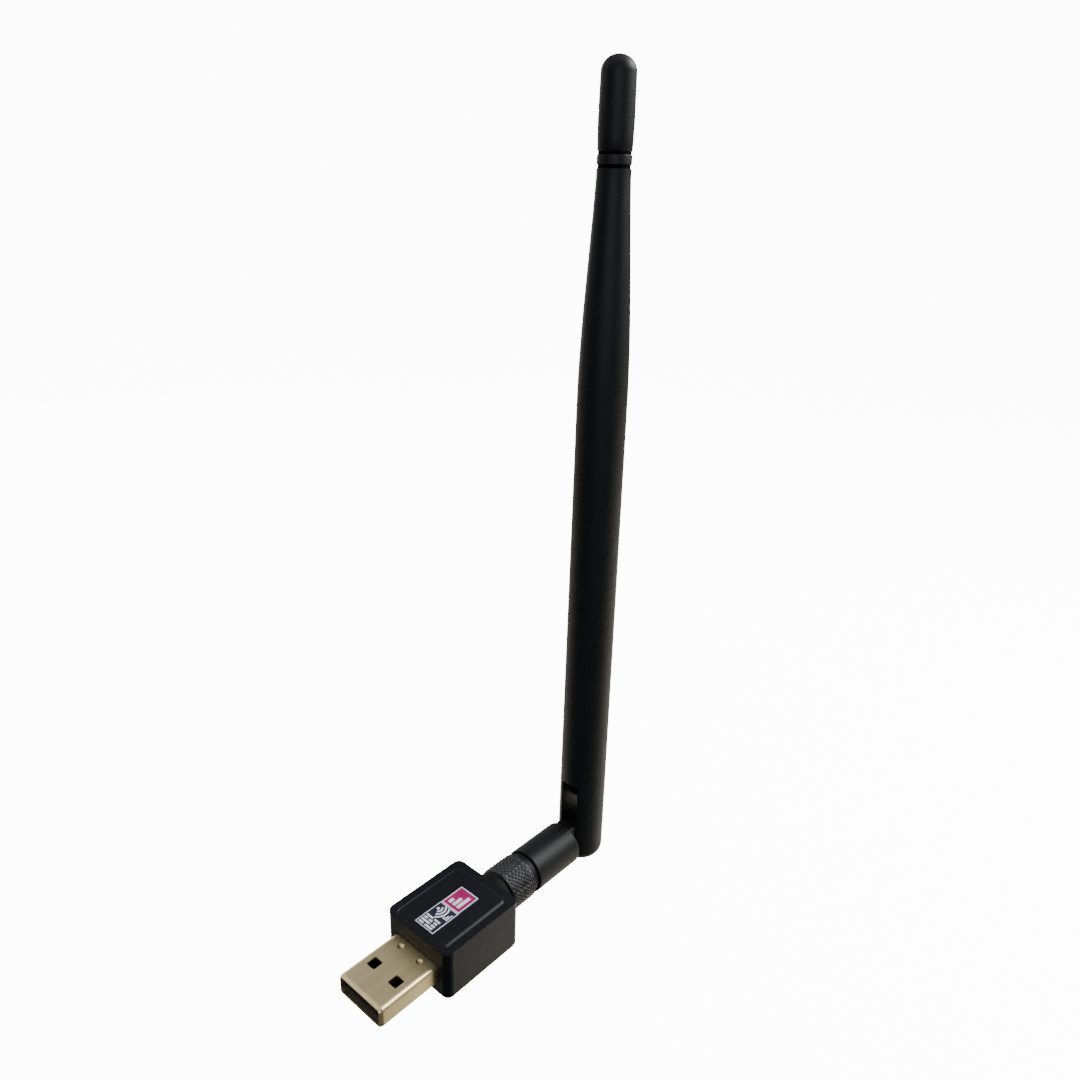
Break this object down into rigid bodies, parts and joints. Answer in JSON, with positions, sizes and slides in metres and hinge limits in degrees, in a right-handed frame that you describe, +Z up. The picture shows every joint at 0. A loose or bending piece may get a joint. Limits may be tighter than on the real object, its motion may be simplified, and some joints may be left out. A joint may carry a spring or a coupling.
{
  "type": "usb wifi adapter",
  "caption": "USB wifi adapter: plated plug, small black case with a printed label, and a screw-on antenna whose long tapered blade swivels and folds.",
  "frame": {"origin": "centre of the USB plug's section where it leaves the front face of the case", "axes": "+Y from the plug's tip towards the antenna, +Z up along the blade at rest, +X along the plug's width"},
  "size_m": [0.0174, 0.0677, 0.163],
  "materials": {
    "case_plastic": "satin moulded",
    "antenna_plastic": "satin moulded",
    "rubber": "matte",
    "label_print": "printed",
    "plug_gold": "pale gold plating",
    "contact_gold": "gold plated",
    "tongue_plastic": "moulded",
    "board_green": "solder mask",
    "chip_black": "moulded",
    "capacitor_ceramic": "ceramic",
    "led_lens": "clear",
    "brass": "machined",
    "copper": "drawn wire",
    "black_nickel": "knurled, dark plated",
    "steel": "bright",
    "ptfe": "waxy",
    "coax_jacket": "extruded"
  },
  "bodies": {
    "adapter": {"case_bottom": "case_plastic", "case_lid": "case_plastic", "label": "label_print", "usb_shell": "plug_gold", "usb_tongue": "tongue_plastic", "usb_contact_1": "contact_gold", "usb_contact_2": "contact_gold", "usb_contact_3": "contact_gold", "usb_contact_4": "contact_gold", "circuit_board": "board_green", "wifi_chip": "chip_black", "memory_chip": "chip_black", "voltage_regulator": "chip_black", "power_inductor": "chip_black", "crystal": "steel", "capacitor_1": "capacitor_ceramic", "capacitor_2": "capacitor_ceramic", "activity_led": "led_lens", "antenna_jack": "brass", "jack_insulator": "ptfe", "jack_pin": "contact_gold", "jack_collar": "rubber"},
    "connector": {"connector_ferrule": "brass", "antenna_insulator": "ptfe", "antenna_socket": "contact_gold", "retaining_ring": "steel"},
    "nut": {"coupling_nut": "black_nickel"},
    "antenna_base": {"barrel": "antenna_plastic", "hinge_pin_left": "steel", "hinge_pin_right": "steel", "coax_lower": "coax_jacket"},
    "antenna_blade": {"blade": "antenna_plastic", "tip_cap": "antenna_plastic", "coax_upper": "coax_jacket", "radiator_sleeve": "brass", "radiator_whip": "copper"}
  },
  "joints": [
    {"name": "antenna_unscrew", "type": "slide", "parent": "adapter", "child": "connector", "axis": [0, 1, 0], "range_m": [0, 0.00423]},
    {"name": "nut_spin", "type": "hinge", "parent": "connector", "child": "nut", "pos_m": [0, 0.0255, 0.0009], "axis": [0, 1, 0], "range_deg": [0, 2160]},
    {"name": "antenna_swivel", "type": "hinge", "parent": "connector", "child": "antenna_base", "pos_m": [0, 0.031, 0.0009], "axis": [0, 1, 0], "range_deg": [-180, 180]},
    {"name": "blade_fold", "type": "hinge", "parent": "antenna_base", "child": "antenna_blade", "pos_m": [0, 0.0492, 0.0009], "axis": [1, 0, 0], "range_deg": [-90, 0]}
  ],
  "couplings": [
    {"joint": "nut_spin", "follows": "antenna_unscrew", "rad_per_m": 8905.3}
  ]
}
